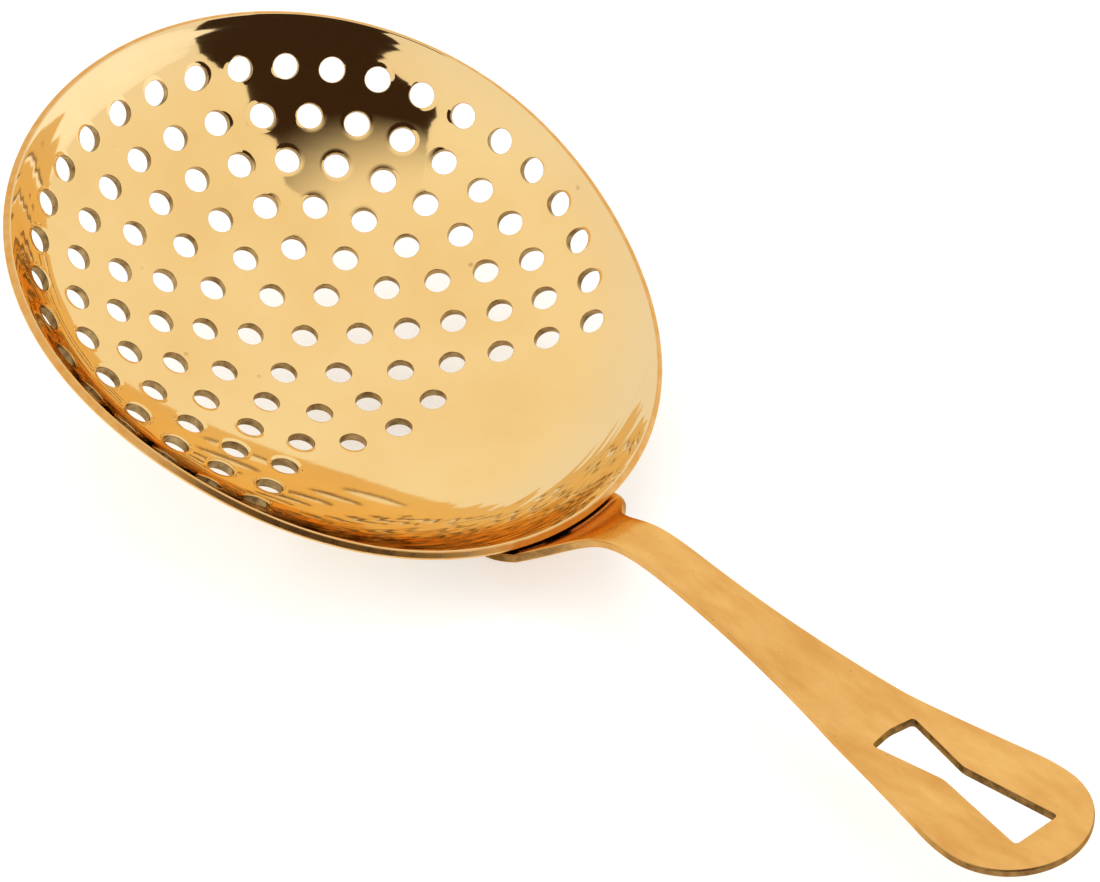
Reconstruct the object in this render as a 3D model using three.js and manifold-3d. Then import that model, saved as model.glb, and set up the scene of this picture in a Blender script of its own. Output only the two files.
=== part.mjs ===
// A bar strainer that lies on the underside of its bowl: a pressed and perforated bowl, a slotted
// sheet-metal handle, and the spot welds that join the handle's root tab to the bowl.
// Millimetres, +Z up, +X along the handle. The origin is under the middle of the whole length.

import * as THREE from 'three';
import { mergeGeometries, mergeVertices } from 'three/addons/utils/BufferGeometryUtils.js';
import Module from 'manifold-3d';

const wasm = await Module();
wasm.setup();

const { degToRad, smoothstep } = THREE.MathUtils;

// Both pressings
const sheet = 1.2; // thickness of the bowl and of the handle
const fitGap = 0.3; // clearance between pieces that lie against each other
const restTilt = 18.8; // degrees the bowl tips towards the handle as the strainer lies on a table

// Bowl, in its own frame: origin at the middle hole, rim level, handle towards +X
const rimRadius = 41.3; // the rim is a round of this radius about the middle hole, drawn out as follows
const rimShift = 2.8; // moved towards the handle
const rimStretch = 2.8; // made longer than it is wide
const rimPoint = 1.2; // brought nearer to a point under the handle
const rimSquare = 0.15; // a little fuller between the quarters
const rimHeight = 17.7; // from the middle hole up to the rim
const rimLift = 0.45; // how much higher the rim is at the handle
const rimSag = 0.6; // how much lower it is at the sides
const dishAlong = 0.008; // how fast the dish rises along X
const dishAcross = 0.00876; // how fast it rises along Y
const dishEase = 0.0000215; // how much shallower it gets towards the handle
const dishShoulder = 0.0000016; // how much faster it rises between the quarters
const lipStart = 0.89; // share of the way to the rim at which the wall turns up
const lipEase = 0.033; // how gently it turns

// Perforation
const holeDiameter = 3.4;
const ringRadii = [7.2, 13.3, 19.2, 24.95, 30.4, 35.6];
const holesPerRing = 6; // ring n holds n times this many places
const fullRings = 3; // the rings outside these are left blank over the root tab
const blankHalfAngle = 44; // degrees to each side of the handle

// Handle: lengths along the sheet, measured from the rim
const tabLength = 21; // from the rim down to the tab's tip
const tabHalfWidth = 7.4;
const tabWidestAt = 9;
const wallStretch = 1.25; // the tab's length along the wall against its length seen from above
const flareStart = 5; // the tab spreads towards this place, near the rim
const flareHalfWidth = 12;
const flareEnd = 1; // and then draws in sharply to the neck
const neckStart = 11;
const neckEnd = 18;
const neckHalfWidth = 3.0;
const taperHold = 40; // how far the neck's narrowness is felt along the taper
const taperEnd = 66; // where the blade's straight taper meets its round end
const taperHalfWidth = 8.45;
const taperSlope = 0.205;
const taperReach = 12; // how far the slope is felt back along the taper
const shoulderReach = 3; // and over the round of the shoulder
const paddleAt = 73.2; // where the blade is widest
const paddleHalfWidth = 9.5;
const handleLength = 82.2; // from the rim to the handle's tip
const endFlat = 10; // degrees before its tip at which each round end finishes in a short flat
const neckRise = 57; // degrees the neck climbs away from the rim
const paddleRise = 21.7; // slope of the flat paddle to the rim
const shankFoot = new THREE.Vector2(66.2, 30.9); // where the neck has become the shank
const paddleFold = new THREE.Vector2(95.5, 39.15); // where the shank's and the paddle's lines meet
const neckReach = 11; // how far the neck holds its climb
const shankReach = 9; // how early it turns into the shank
const foldReach = 2; // half the length of that gentle bend
const wrapFade = 15; // how far from the rim the tab's curve across its width dies out

// Hourglass slot in the paddle
const slotStart = 55.6;
const slotWaist = 64.9;
const slotEnd = 77.3;
const slotHalfWidth = 3.3;
const waistHalfWidth = 1.5;
const slotArch = 0.5; // how far the inner end bows outwards

// Spot welds, as distance below the rim and to the side
const weldRadius = 1.6;
const weldPlaces = [[-15.5, 0], [-9, 3.9], [-9, -3.9]];

// Mesh fineness
const bowlSegments = 36;
const bowlSteps = 9;
const holeSides = 8;
const handleLanes = 8;
const outlineSteps = 10; // along each curved stretch of the handle's outline

function toSolid(geometry) {
  const bare = geometry.clone();
  bare.deleteAttribute('normal');
  bare.deleteAttribute('uv');
  const merged = mergeVertices(bare);
  const index = merged.index.array;
  const triangles = [];
  for (let i = 0; i < index.length; i += 3) {
    const [a, b, c] = index.slice(i, i + 3);
    if (a !== b && b !== c && c !== a) triangles.push(a, b, c);
  }
  return new wasm.Manifold(new wasm.Mesh({
    numProp: 3,
    vertProperties: new Float32Array(merged.attributes.position.array),
    triVerts: new Uint32Array(triangles),
  }));
}

function toGeometry(solid) {
  const mesh = solid.getMesh();
  const geometry = new THREE.BufferGeometry();
  geometry.setAttribute('position', new THREE.BufferAttribute(mesh.vertProperties, 3));
  geometry.setIndex(new THREE.BufferAttribute(mesh.triVerts, 1));
  geometry.computeVertexNormals();
  return geometry;
}

function moveVertices(geometry, place) {
  const position = geometry.attributes.position;
  const vertex = new THREE.Vector3();
  for (let i = 0; i < position.count; i += 1) {
    vertex.fromBufferAttribute(position, i);
    position.setXYZ(i, ...place(vertex));
  }
  return geometry;
}

// The bowl's middle surface

function rimReach(angle) {
  return rimRadius + rimShift * Math.cos(angle) + rimStretch * Math.cos(2 * angle)
    + rimPoint * Math.cos(3 * angle) + rimSquare * Math.cos(4 * angle);
}

function dishHeight(x, y) {
  return dishAlong * x ** 2 + dishAcross * y ** 2 - dishEase * x ** 3 + dishShoulder * (x * y) ** 2;
}

function lipShare(ratio) {
  return Math.log1p(Math.exp((ratio - lipStart) / lipEase)) / Math.log1p(Math.exp((1 - lipStart) / lipEase));
}

// ratio runs from 0 at the middle hole to 1 at the rim
function bowlPoint(ratio, angle) {
  const rimX = rimReach(angle) * Math.cos(angle);
  const rimY = rimReach(angle) * Math.sin(angle);
  const rimZ = rimHeight + rimLift * Math.cos(angle) + rimSag * Math.cos(2 * angle);
  const lip = (rimZ - dishHeight(rimX, rimY)) * lipShare(ratio);
  return new THREE.Vector3(ratio * rimX, ratio * rimY, dishHeight(ratio * rimX, ratio * rimY) + lip);
}

// Points up into the bowl
function bowlNormal(ratio, angle) {
  const step = 0.001;
  const r = Math.max(ratio, 0.01);
  const outward = bowlPoint(r + step, angle).sub(bowlPoint(r - step, angle));
  const around = bowlPoint(r, angle + step).sub(bowlPoint(r, angle - step));
  return outward.cross(around).normalize();
}

function bowlOffset(ratio, angle, distance) {
  return bowlPoint(ratio, angle).addScaledVector(bowlNormal(ratio, angle), distance);
}

function holeCutter(radius, depth, sides, centre, normal) {
  const cutter = new THREE.CylinderGeometry(radius, radius, depth, sides);
  cutter.applyQuaternion(new THREE.Quaternion().setFromUnitVectors(THREE.Object3D.DEFAULT_UP, normal));
  return cutter.translate(centre.x, centre.y, centre.z);
}

// A flat disc, pressed to the bowl's shape and then pierced square to its surface
function makeBowl() {
  const ratios = Array.from({ length: bowlSteps + 1 }, (_, i) => Math.sin((Math.PI / 2) * (i / bowlSteps)));
  const profile = [
    ...ratios.map((ratio) => new THREE.Vector2(ratio, -0.5)),
    ...ratios.reverse().map((ratio) => new THREE.Vector2(ratio, 0.5)),
  ];
  const disc = new THREE.LatheGeometry(profile, bowlSegments);
  const shell = moveVertices(disc, (v) => {
    return bowlOffset(Math.hypot(v.x, v.z), Math.atan2(v.x, v.z), v.y * sheet);
  });

  const cutters = [holeCutter(holeDiameter / 2, 3 * sheet, holeSides, bowlPoint(0, 0), bowlNormal(0, 0))];
  ringRadii.forEach((radius, index) => {
    const places = holesPerRing * (index + 1);
    for (let place = 0; place < places; place += 1) {
      const angle = (2 * Math.PI * place) / places;
      const fromHandle = Math.min(angle, 2 * Math.PI - angle);
      if (index >= fullRings && fromHandle < degToRad(blankHalfAngle)) continue;
      const ratio = radius / rimReach(angle);
      const centre = bowlPoint(ratio, angle);
      cutters.push(holeCutter(holeDiameter / 2, 3 * sheet, holeSides, centre, bowlNormal(ratio, angle)));
    }
  });
  return toGeometry(toSolid(shell).subtract(toSolid(mergeGeometries(cutters))));
}

// The handle's middle surface: distance is measured along the sheet from the rim, across is Y

function tabPoint(distance, across) {
  const ratio = 1 + distance / rimReach(0) / wallStretch;
  let angle = 0;
  for (let i = 0; i < 6; i += 1) angle = Math.asin(across / (ratio * rimReach(angle)));
  return bowlOffset(ratio, angle, -sheet - fitGap);
}

function slopeDirection(degrees) {
  return new THREE.Vector2(Math.cos(degToRad(degrees)), Math.sin(degToRad(degrees)));
}

// Side view of the handle beyond the rim: climbing neck, shank, gentle bend, flat paddle
function makeSideLine() {
  const start = tabPoint(0, 0);
  const rimFoot = new THREE.Vector2(start.x, start.z);
  const shankWay = paddleFold.clone().sub(shankFoot).normalize();
  const paddleWay = slopeDirection(paddleRise);
  const bendIn = paddleFold.clone().addScaledVector(shankWay, -foldReach);
  const bendOut = paddleFold.clone().addScaledVector(paddleWay, foldReach);
  const line = new THREE.CurvePath();
  line.add(new THREE.CubicBezierCurve(
    rimFoot,
    rimFoot.clone().addScaledVector(slopeDirection(neckRise), neckReach),
    shankFoot.clone().addScaledVector(shankWay, -shankReach),
    shankFoot,
  ));
  line.add(new THREE.LineCurve(shankFoot, bendIn));
  line.add(new THREE.QuadraticBezierCurve(bendIn, paddleFold, bendOut));
  const rest = handleLength - line.getLength();
  line.add(new THREE.LineCurve(bendOut, bendOut.clone().addScaledVector(paddleWay, rest)));
  line.updateArcLengths();
  return line;
}

const sideLine = makeSideLine();

function handlePoint(distance, across) {
  if (distance <= 0) return tabPoint(distance, across);
  const centre = sideLine.getPoint(distance / handleLength);
  const start = sideLine.getPoint(0);
  const wrap = tabPoint(0, across).sub(new THREE.Vector3(start.x, across, start.y));
  const point = new THREE.Vector3(centre.x, across, centre.y);
  return point.addScaledVector(wrap, 1 - smoothstep(distance, 0, wrapFade));
}

// Points up, on the side that faces away from the table
function handleNormal(distance, across) {
  const step = 0.05;
  const tip = Math.min(distance + step, handleLength);
  const along = handlePoint(tip, across).sub(handlePoint(distance - step, across));
  const sideways = handlePoint(distance, across + step).sub(handlePoint(distance, across - step));
  return along.cross(sideways).normalize();
}

// Half the handle's flat outline, from the tab's tip to the paddle's tip, as distance and half width
function handleOutline() {
  const closed = degToRad(endFlat);
  const outline = new THREE.Path();
  const tabStart = new THREE.EllipseCurve(
    -tabWidestAt, 0, tabLength - tabWidestAt, tabHalfWidth, Math.PI - closed, Math.PI / 2, true,
  );
  outline.setFromPoints(tabStart.getPoints(7));
  outline.bezierCurveTo(flareStart, flareHalfWidth, flareEnd, neckHalfWidth, neckStart, neckHalfWidth);
  outline.lineTo(neckEnd, neckHalfWidth);
  outline.bezierCurveTo(
    taperHold, neckHalfWidth,
    taperEnd - taperReach, taperHalfWidth - taperReach * taperSlope,
    taperEnd, taperHalfWidth,
  );
  outline.bezierCurveTo(
    taperEnd + shoulderReach, taperHalfWidth + shoulderReach * taperSlope,
    paddleAt - shoulderReach, paddleHalfWidth,
    paddleAt, paddleHalfWidth,
  );
  outline.absellipse(paddleAt, 0, handleLength - paddleAt, paddleHalfWidth, Math.PI / 2, closed, true);
  return outline.getPoints(outlineSteps);
}

function slotCutter() {
  const shape = new THREE.Shape();
  shape.moveTo(slotStart, -slotHalfWidth);
  shape.lineTo(slotWaist, -waistHalfWidth);
  shape.lineTo(slotEnd, -slotHalfWidth);
  shape.lineTo(slotEnd, slotHalfWidth);
  shape.lineTo(slotWaist, waistHalfWidth);
  shape.lineTo(slotStart, slotHalfWidth);
  shape.quadraticCurveTo(slotStart - slotArch * 2, 0, slotStart, -slotHalfWidth);
  const punch = { depth: 4 * sheet, bevelEnabled: false, curveSegments: 6 };
  const cutter = new THREE.ExtrudeGeometry(shape, punch);
  cutter.translate(-handleLength, 0, -2 * sheet);
  cutter.rotateY(-degToRad(paddleRise));
  const tip = sideLine.getPoint(1);
  return cutter.translate(tip.x, 0, tip.y);
}

// A flat blank, bent along the side line, then slotted and opened for the welds
function makeHandle() {
  const outline = handleOutline();
  const blank = new THREE.BoxGeometry(1, 1, 1, outline.length - 1, handleLanes, 1);
  const bent = moveVertices(blank, (v) => {
    const station = outline[Math.round((v.x + 0.5) * (outline.length - 1))];
    const across = 2 * v.y * station.y;
    const point = handlePoint(station.x, across);
    return point.addScaledVector(handleNormal(station.x, across), v.z * sheet);
  });
  const weldHoles = weldPlaces.map(([distance, across]) => holeCutter(
    weldRadius + fitGap,
    3 * sheet,
    16,
    handlePoint(distance, across),
    handleNormal(distance, across),
  ));
  const cutters = toSolid(mergeGeometries(weldHoles)).add(toSolid(slotCutter()));
  return toGeometry(toSolid(bent).subtract(cutters));
}

function namedMesh(name, geometry, color, roughness) {
  const mesh = new THREE.Mesh(geometry, new THREE.MeshStandardMaterial({ color, roughness, metalness: 1 }));
  mesh.name = name;
  return mesh;
}

const strainer = new THREE.Group();
strainer.add(namedMesh('bowl', makeBowl(), 0xf4cb82, 0.12));
strainer.add(namedMesh('handle', makeHandle(), 0xe0a656, 0.38));
weldPlaces.forEach(([distance, across], index) => {
  const plug = new THREE.CylinderGeometry(weldRadius, weldRadius, sheet, 16);
  const weld = namedMesh(`spot_weld_${index + 1}`, plug, 0xc8954e, 0.5);
  weld.position.copy(handlePoint(distance, across));
  weld.quaternion.setFromUnitVectors(THREE.Object3D.DEFAULT_UP, handleNormal(distance, across));
  strainer.add(weld);
});

// Lay it down: tip the bowl, then put the origin under the middle of the length, on the table
strainer.rotation.y = degToRad(restTilt);
const extent = new THREE.Box3().setFromObject(strainer, true);
const middle = extent.getCenter(new THREE.Vector3());
strainer.position.set(-middle.x, -middle.y, -extent.min.z);

const part = new THREE.Group();
part.add(strainer);

export default part;
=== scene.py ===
# A julep strainer: a polished, perforated bowl, a satin handle welded under its rim, and the weld spots.
# Lengths are millimetres in the bowl's own frame, unless a note says otherwise:
# origin at the middle hole, rim level, handle towards +X.

import math

import bpy
import numpy as np
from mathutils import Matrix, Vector
from mathutils.geometry import delaunay_2d_cdt


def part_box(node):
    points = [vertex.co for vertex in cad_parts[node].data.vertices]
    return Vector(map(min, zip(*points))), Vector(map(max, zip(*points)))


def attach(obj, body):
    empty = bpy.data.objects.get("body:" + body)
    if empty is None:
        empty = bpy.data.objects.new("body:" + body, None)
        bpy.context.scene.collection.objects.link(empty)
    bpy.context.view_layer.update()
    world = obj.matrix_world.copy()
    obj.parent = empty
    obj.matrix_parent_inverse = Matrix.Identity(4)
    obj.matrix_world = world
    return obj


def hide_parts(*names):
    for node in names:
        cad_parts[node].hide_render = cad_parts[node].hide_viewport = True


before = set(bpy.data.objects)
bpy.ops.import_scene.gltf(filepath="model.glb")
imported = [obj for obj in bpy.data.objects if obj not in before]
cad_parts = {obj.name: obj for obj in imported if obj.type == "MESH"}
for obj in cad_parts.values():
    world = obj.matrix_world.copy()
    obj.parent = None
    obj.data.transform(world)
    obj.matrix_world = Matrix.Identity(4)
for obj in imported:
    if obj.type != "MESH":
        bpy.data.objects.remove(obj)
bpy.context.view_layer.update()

millimetre = 0.001
scene = bpy.context.scene

sheetMetal = {
    "thickness": 1.2,
    "fitGap": 0.3,       # between the root tab and the bowl
    "tilt": 18.8,        # degrees the bowl tips towards the handle as it lies
    "polishReach": 6,    # how far beyond the rim the handle is polished by hand
    "polishFade": 7,
    "nudge": 0.01,       # a small step for finding directions on a surface
    "cutLean": 0.5,      # radians an edge leans before it starts to look cut
    "cutFade": 0.5,      # radians more until it looks fully cut
    "fillMargin": 0.6,   # share of an outline's spacing kept clear of inner points
    "fillBatch": 2000,   # inner points measured at a time
    "weldedWithin": 1e-6,
}


def insidePolygon(points, polygon):
    inside = np.zeros(len(points), bool)
    low, high = polygon.min(0), polygon.max(0)
    near = np.flatnonzero(np.all((points >= low) & (points <= high), axis=1))
    x, y = points[near, 0], points[near, 1]
    crossings = np.zeros(len(near), int)
    for a, b in zip(polygon, np.roll(polygon, -1, axis=0)):
        spans = (a[1] > y) != (b[1] > y)
        if spans.any():
            crossAt = a[0] + (y[spans] - a[1]) * (b[0] - a[0]) / (b[1] - a[1])
            crossings[np.flatnonzero(spans)[x[spans] < crossAt]] += 1
    inside[near] = crossings % 2 == 1
    return inside


def edgeProfile(edge):
    # from the flat of the sheet to the middle of the cut: (inset, drop, lean of the normal)
    width, drop, radius = edge["rollWidth"], edge["rollDrop"], edge["round"]
    startLean = math.atan(2 * drop / width)
    steps = []
    for u in edge["rollSteps"]:
        steps.append((radius + width * u, drop * (1 - u) ** 2, startLean * (1 - u)))
    for lean in np.linspace(startLean, math.pi / 2, edge["roundSteps"]):
        steps.append((radius * (1 - math.sin(lean)), drop + radius * (1 - math.cos(lean)), lean))
    return steps


def pressSheet(name, outlines, fill, place, thickness):
    # the first outline runs round the blank, the others round its holes, each with its way into the metal
    points, normals, cutMask, innerMask, faces = [], [], [], [], []
    rings, count = [], 0
    for order, outline in enumerate(outlines):
        profile = edgeProfile(outline["edge"])
        sides = [(1, step) for step in profile] + [(-1, step) for step in reversed(profile)]
        flat, inward = outline["flat"], outline["inward"]
        here, _ = place(flat, 0)
        ahead, _ = place(flat + inward * sheetMetal["nudge"], 0)
        inwardWay = ahead - here
        inwardWay /= np.linalg.norm(inwardWay, axis=1)[:, None]
        size, first = len(flat), count
        for side, (inset, drop, lean) in sides:
            spot, facing = place(flat + inward * inset, side * (thickness / 2 - drop))
            points.append(spot)
            normals.append(side * facing * math.cos(lean) - inwardWay * math.sin(lean))
            cut = min(1.0, max(0.0, (lean - sheetMetal["cutLean"]) / sheetMetal["cutFade"]))
            # on the handle the cut share is scaled by how much painted dark reflection its edge gets
            cutMask.append(np.ones(size) * cut * outline.get("paintedDarkShare", 1))
            innerMask.append(np.full(size, float(order > 0)))
            count += size
        for ring in range(len(sides) - 1):
            top, low = first + ring * size, first + (ring + 1) * size
            for i in range(size):
                j = (i + 1) % size
                faces.append((top + i, low + i, low + j, top + j))
        last = first + (len(sides) - 1) * size
        rings.append({"flat": flat + inward * profile[0][0], "top": first, "low": last})

    keep = insidePolygon(fill, rings[0]["flat"])
    for order, ring in enumerate(rings):
        if order:
            keep &= ~insidePolygon(fill, ring["flat"])
        spacing = np.linalg.norm(ring["flat"] - np.roll(ring["flat"], 1, axis=0), axis=1).mean()
        margin = sheetMetal["fillMargin"] * spacing
        low, high = ring["flat"].min(0) - margin, ring["flat"].max(0) + margin
        near = np.flatnonzero(keep & np.all((fill >= low) & (fill <= high), axis=1))
        for start in range(0, len(near), sheetMetal["fillBatch"]):
            part = near[start:start + sheetMetal["fillBatch"]]
            gap = np.linalg.norm(fill[part][:, None] - ring["flat"][None], axis=2).min(1)
            keep[part[gap < margin]] = False
    fill = fill[keep]

    flatPoints = [ring["flat"] for ring in rings] + [fill]
    starts = np.cumsum([0] + [len(part) for part in flatPoints])
    allFlat = np.vstack(flatPoints)
    edges = []
    for ring, start in zip(rings, starts):
        size = len(ring["flat"])
        edges += [(int(start) + i, int(start) + (i + 1) % size) for i in range(size)]
    corners = [Vector(point) for point in allFlat]
    _, _, netFaces, origin, _, _ = delaunay_2d_cdt(corners, edges, [], 0, sheetMetal["weldedWithin"])
    triangles = np.array([[origin[v][0] for v in face] for face in netFaces], int)
    centres = allFlat[triangles].mean(1)
    wanted = insidePolygon(centres, rings[0]["flat"])
    for ring in rings[1:]:
        wanted &= ~insidePolygon(centres, ring["flat"])
    triangles = triangles[wanted]
    a, b, c = (allFlat[triangles[:, i]] for i in range(3))
    turn = (b[:, 0] - a[:, 0]) * (c[:, 1] - a[:, 1]) - (b[:, 1] - a[:, 1]) * (c[:, 0] - a[:, 0])
    triangles[turn < 0] = triangles[turn < 0][:, ::-1]

    for side, key in ((1, "top"), (-1, "low")):
        numbering = np.zeros(len(allFlat), int)
        for ring, start in zip(rings, starts):
            size = len(ring["flat"])
            numbering[start:start + size] = ring[key] + np.arange(size)
        spot, facing = place(fill, side * thickness / 2)
        numbering[starts[-2]:] = count + np.arange(len(fill))
        points.append(spot)
        normals.append(side * facing)
        cutMask.append(np.zeros(len(fill)))
        innerMask.append(np.zeros(len(fill)))
        count += len(fill)
        facets = triangles if side > 0 else triangles[:, ::-1]
        faces += [tuple(int(v) for v in row) for row in numbering[facets]]
    masks = {"cut": np.concatenate(cutMask), "inner": np.concatenate(innerMask)}
    return meshPiece(name, np.vstack(points), np.vstack(normals), faces, masks)


def meshPiece(name, points, normals, faces, masks):
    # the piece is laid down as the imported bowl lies, and scaled to metres
    mesh = bpy.data.meshes.new(name)
    mesh.from_pydata((layDown(points) * millimetre).tolist(), [], faces)
    mesh.polygons.foreach_set("use_smooth", [True] * len(mesh.polygons))
    beyond = points[:, 0] - rimReach(0) - sheetMetal["polishReach"]
    masks["polished"] = 1 - np.clip(beyond / sheetMetal["polishFade"], 0, 1)
    for mask, values in masks.items():
        layer = mesh.attributes.new(mask, "FLOAT", "POINT")
        layer.data.foreach_set("value", values.astype(np.float32))
    blank = mesh.attributes.new("blank", "FLOAT_VECTOR", "POINT")
    blank.data.foreach_set("vector", points.astype(np.float32).ravel())
    facing = turned(normals)
    facing /= np.linalg.norm(facing, axis=1)[:, None]
    mesh.normals_split_custom_set_from_vertices(facing.tolist())
    mesh.update()
    piece = bpy.data.objects.new(name, mesh)
    scene.collection.objects.link(piece)
    return piece


def turned(vectors):
    angle = math.radians(sheetMetal["tilt"])
    c, s = math.cos(angle), math.sin(angle)
    return vectors @ np.array([[c, 0, s], [0, 1, 0], [-s, 0, c]]).T


bowl = {
    "rimRadius": 41.3,
    "rimShift": 2.8,            # moved towards the handle
    "rimStretch": 2.8,          # longer than wide
    "rimPoint": 1.2,            # nearer to a point under the handle
    "rimSquare": 0.15,
    "rimHeight": 17.7,          # from the middle hole up to the rim
    "rimLift": 0.45,            # higher at the handle, lower at the far end
    "rimSag": 0.6,              # lower at the two sides
    "dishAlong": 0.008,         # how fast the dish rises along X
    "dishAcross": 0.00876,      # how fast it rises along Y
    "dishEase": 0.0000215,      # how much shallower it gets towards the handle
    "dishShoulder": 0.0000016,  # how much faster it rises between the quarters
    "lipStart": 0.89,           # share of the way to the rim at which the wall turns up
    "lipEase": 0.033,           # how gently it turns
    "rimPoints": 360,
    "slopeStep": 0.001,
    "innerFill": (0.03, 0.8, 32),  # first and last share of the way to the rim, and how many rings
    "wallFill": (0.81, 1, 40),
    "wallCrowding": 0.8,        # below 1 crowds the wall's rings towards the rim
    "fillSpacing": 1.1,
    "fewestRound": 6,
    "edge": {
        "round": 0.3, "roundSteps": 5,
        "rollWidth": 1.0, "rollDrop": 0.03, "rollSteps": (1, 0.7, 0.4, 0.15),
    },
}

piercing = {
    "diameter": 3.4,
    "ringRadii": [7.2, 13.3, 19.2, 24.95, 30.4, 35.6],
    "perRing": 6,          # ring n has n times this many places
    "fullRings": 3,
    "blankHalfAngle": 44,  # degrees left unpierced over the root tab, in the outer rings
    "points": 30,
    "edge": {
        "round": 0.1, "roundSteps": 5,
        "rollWidth": 0.6, "rollDrop": 0.035, "rollSteps": (1, 0.7, 0.4, 0.15),
    },
}


def rimReach(angle):
    return (bowl["rimRadius"] + bowl["rimShift"] * np.cos(angle) + bowl["rimStretch"] * np.cos(2 * angle)
            + bowl["rimPoint"] * np.cos(3 * angle) + bowl["rimSquare"] * np.cos(4 * angle))


def dishHeight(x, y):
    return (bowl["dishAlong"] * x ** 2 + bowl["dishAcross"] * y ** 2 - bowl["dishEase"] * x ** 3
            + bowl["dishShoulder"] * (x * y) ** 2)


def lipShare(ratio):
    start, ease = bowl["lipStart"], bowl["lipEase"]
    return np.log1p(np.exp((ratio - start) / ease)) / math.log1p(math.exp((1 - start) / ease))


def bowlHeight(x, y):
    angle = np.arctan2(y, x)
    reach = rimReach(angle)
    rimZ = bowl["rimHeight"] + bowl["rimLift"] * np.cos(angle) + bowl["rimSag"] * np.cos(2 * angle)
    lip = rimZ - dishHeight(reach * np.cos(angle), reach * np.sin(angle))
    return dishHeight(x, y) + lip * lipShare(np.hypot(x, y) / reach)


def bowlSheet(flat, depth):
    # flat is the place seen from above, and depth runs from the middle of the sheet into the bowl
    x, y = flat[:, 0], flat[:, 1]
    step = bowl["slopeStep"]
    slopeX = (bowlHeight(x + step, y) - bowlHeight(x - step, y)) / (2 * step)
    slopeY = (bowlHeight(x, y + step) - bowlHeight(x, y - step)) / (2 * step)
    normal = np.stack([-slopeX, -slopeY, np.ones(len(x))], axis=1)
    normal /= np.linalg.norm(normal, axis=1)[:, None]
    return np.stack([x, y, bowlHeight(x, y)], axis=1) + normal * depth, normal


def layDown(points):
    # tip the bowl's frame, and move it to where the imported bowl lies
    farTip = np.array([[-rimReach(math.pi), 0.0]])
    halfSheet = sheetMetal["thickness"] / 2
    corners = turned(np.vstack([bowlSheet(farTip, side * halfSheet)[0] for side in (1, -1)]))
    low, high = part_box("bowl")
    shiftX = low.x / millimetre - corners[:, 0].min()
    shiftZ = high.z / millimetre - corners[:, 2].max()
    return turned(points) + np.array([shiftX, 0, shiftZ])


def rimOutline():
    angle = np.linspace(0, 2 * math.pi, bowl["rimPoints"], endpoint=False)
    outward = np.stack([np.cos(angle), np.sin(angle)], axis=1)
    flat = outward * rimReach(angle)[:, None]
    here, _ = bowlSheet(flat, 0)
    nearer, _ = bowlSheet(flat - outward * sheetMetal["nudge"], 0)
    shortening = sheetMetal["nudge"] / np.linalg.norm(here - nearer, axis=1)
    return {"flat": flat, "inward": -outward * shortening[:, None], "edge": bowl["edge"]}


def holePlaces():
    places = [(0.0, 0.0)]
    blankHalf = math.radians(piercing["blankHalfAngle"])
    for ring, radius in enumerate(piercing["ringRadii"]):
        count = piercing["perRing"] * (ring + 1)
        for angle in (2 * math.pi * i / count for i in range(count)):
            fromHandle = min(angle, 2 * math.pi - angle)
            if ring < piercing["fullRings"] or fromHandle >= blankHalf:
                places.append((radius * math.cos(angle), radius * math.sin(angle)))
    return places


def holeOutline(place):
    centre = np.array([place])
    _, normal = bowlSheet(centre, 0)
    sideways = np.cross(normal[0], [0.0, 1.0, 0.0])
    sideways /= np.linalg.norm(sideways)
    onward = np.cross(normal[0], sideways)
    angle = -np.linspace(0, 2 * math.pi, piercing["points"], endpoint=False)
    away = np.outer(np.cos(angle), sideways) + np.outer(np.sin(angle), onward)
    flat = centre + away[:, :2] * piercing["diameter"] / 2
    if turnOf(flat) > 0:
        flat, away = flat[::-1], away[::-1]
    return {"flat": flat, "inward": away[:, :2], "edge": piercing["edge"]}


def turnOf(polygon):
    x, y = polygon[:, 0], polygon[:, 1]
    return (x * np.roll(y, -1) - y * np.roll(x, -1)).sum()


def fillRing(ratio, count):
    angle = np.linspace(0, 2 * math.pi, count, endpoint=False)
    return np.stack([np.cos(angle), np.sin(angle)], axis=1) * (ratio * rimReach(angle))[:, None]


def bowlFill():
    fill = []
    for ratio in np.linspace(*bowl["innerFill"]):
        count = round(2 * math.pi * ratio * bowl["rimRadius"] / bowl["fillSpacing"])
        fill.append(fillRing(ratio, max(bowl["fewestRound"], count)))
    for ratio in np.linspace(*bowl["wallFill"]) ** bowl["wallCrowding"]:
        fill.append(fillRing(ratio, bowl["rimPoints"]))
    return np.vstack(fill)


def makeBowl():
    outlines = [rimOutline()] + [holeOutline(place) for place in holePlaces()]
    return pressSheet("pierced_bowl", outlines, bowlFill(), bowlSheet, sheetMetal["thickness"])


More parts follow.
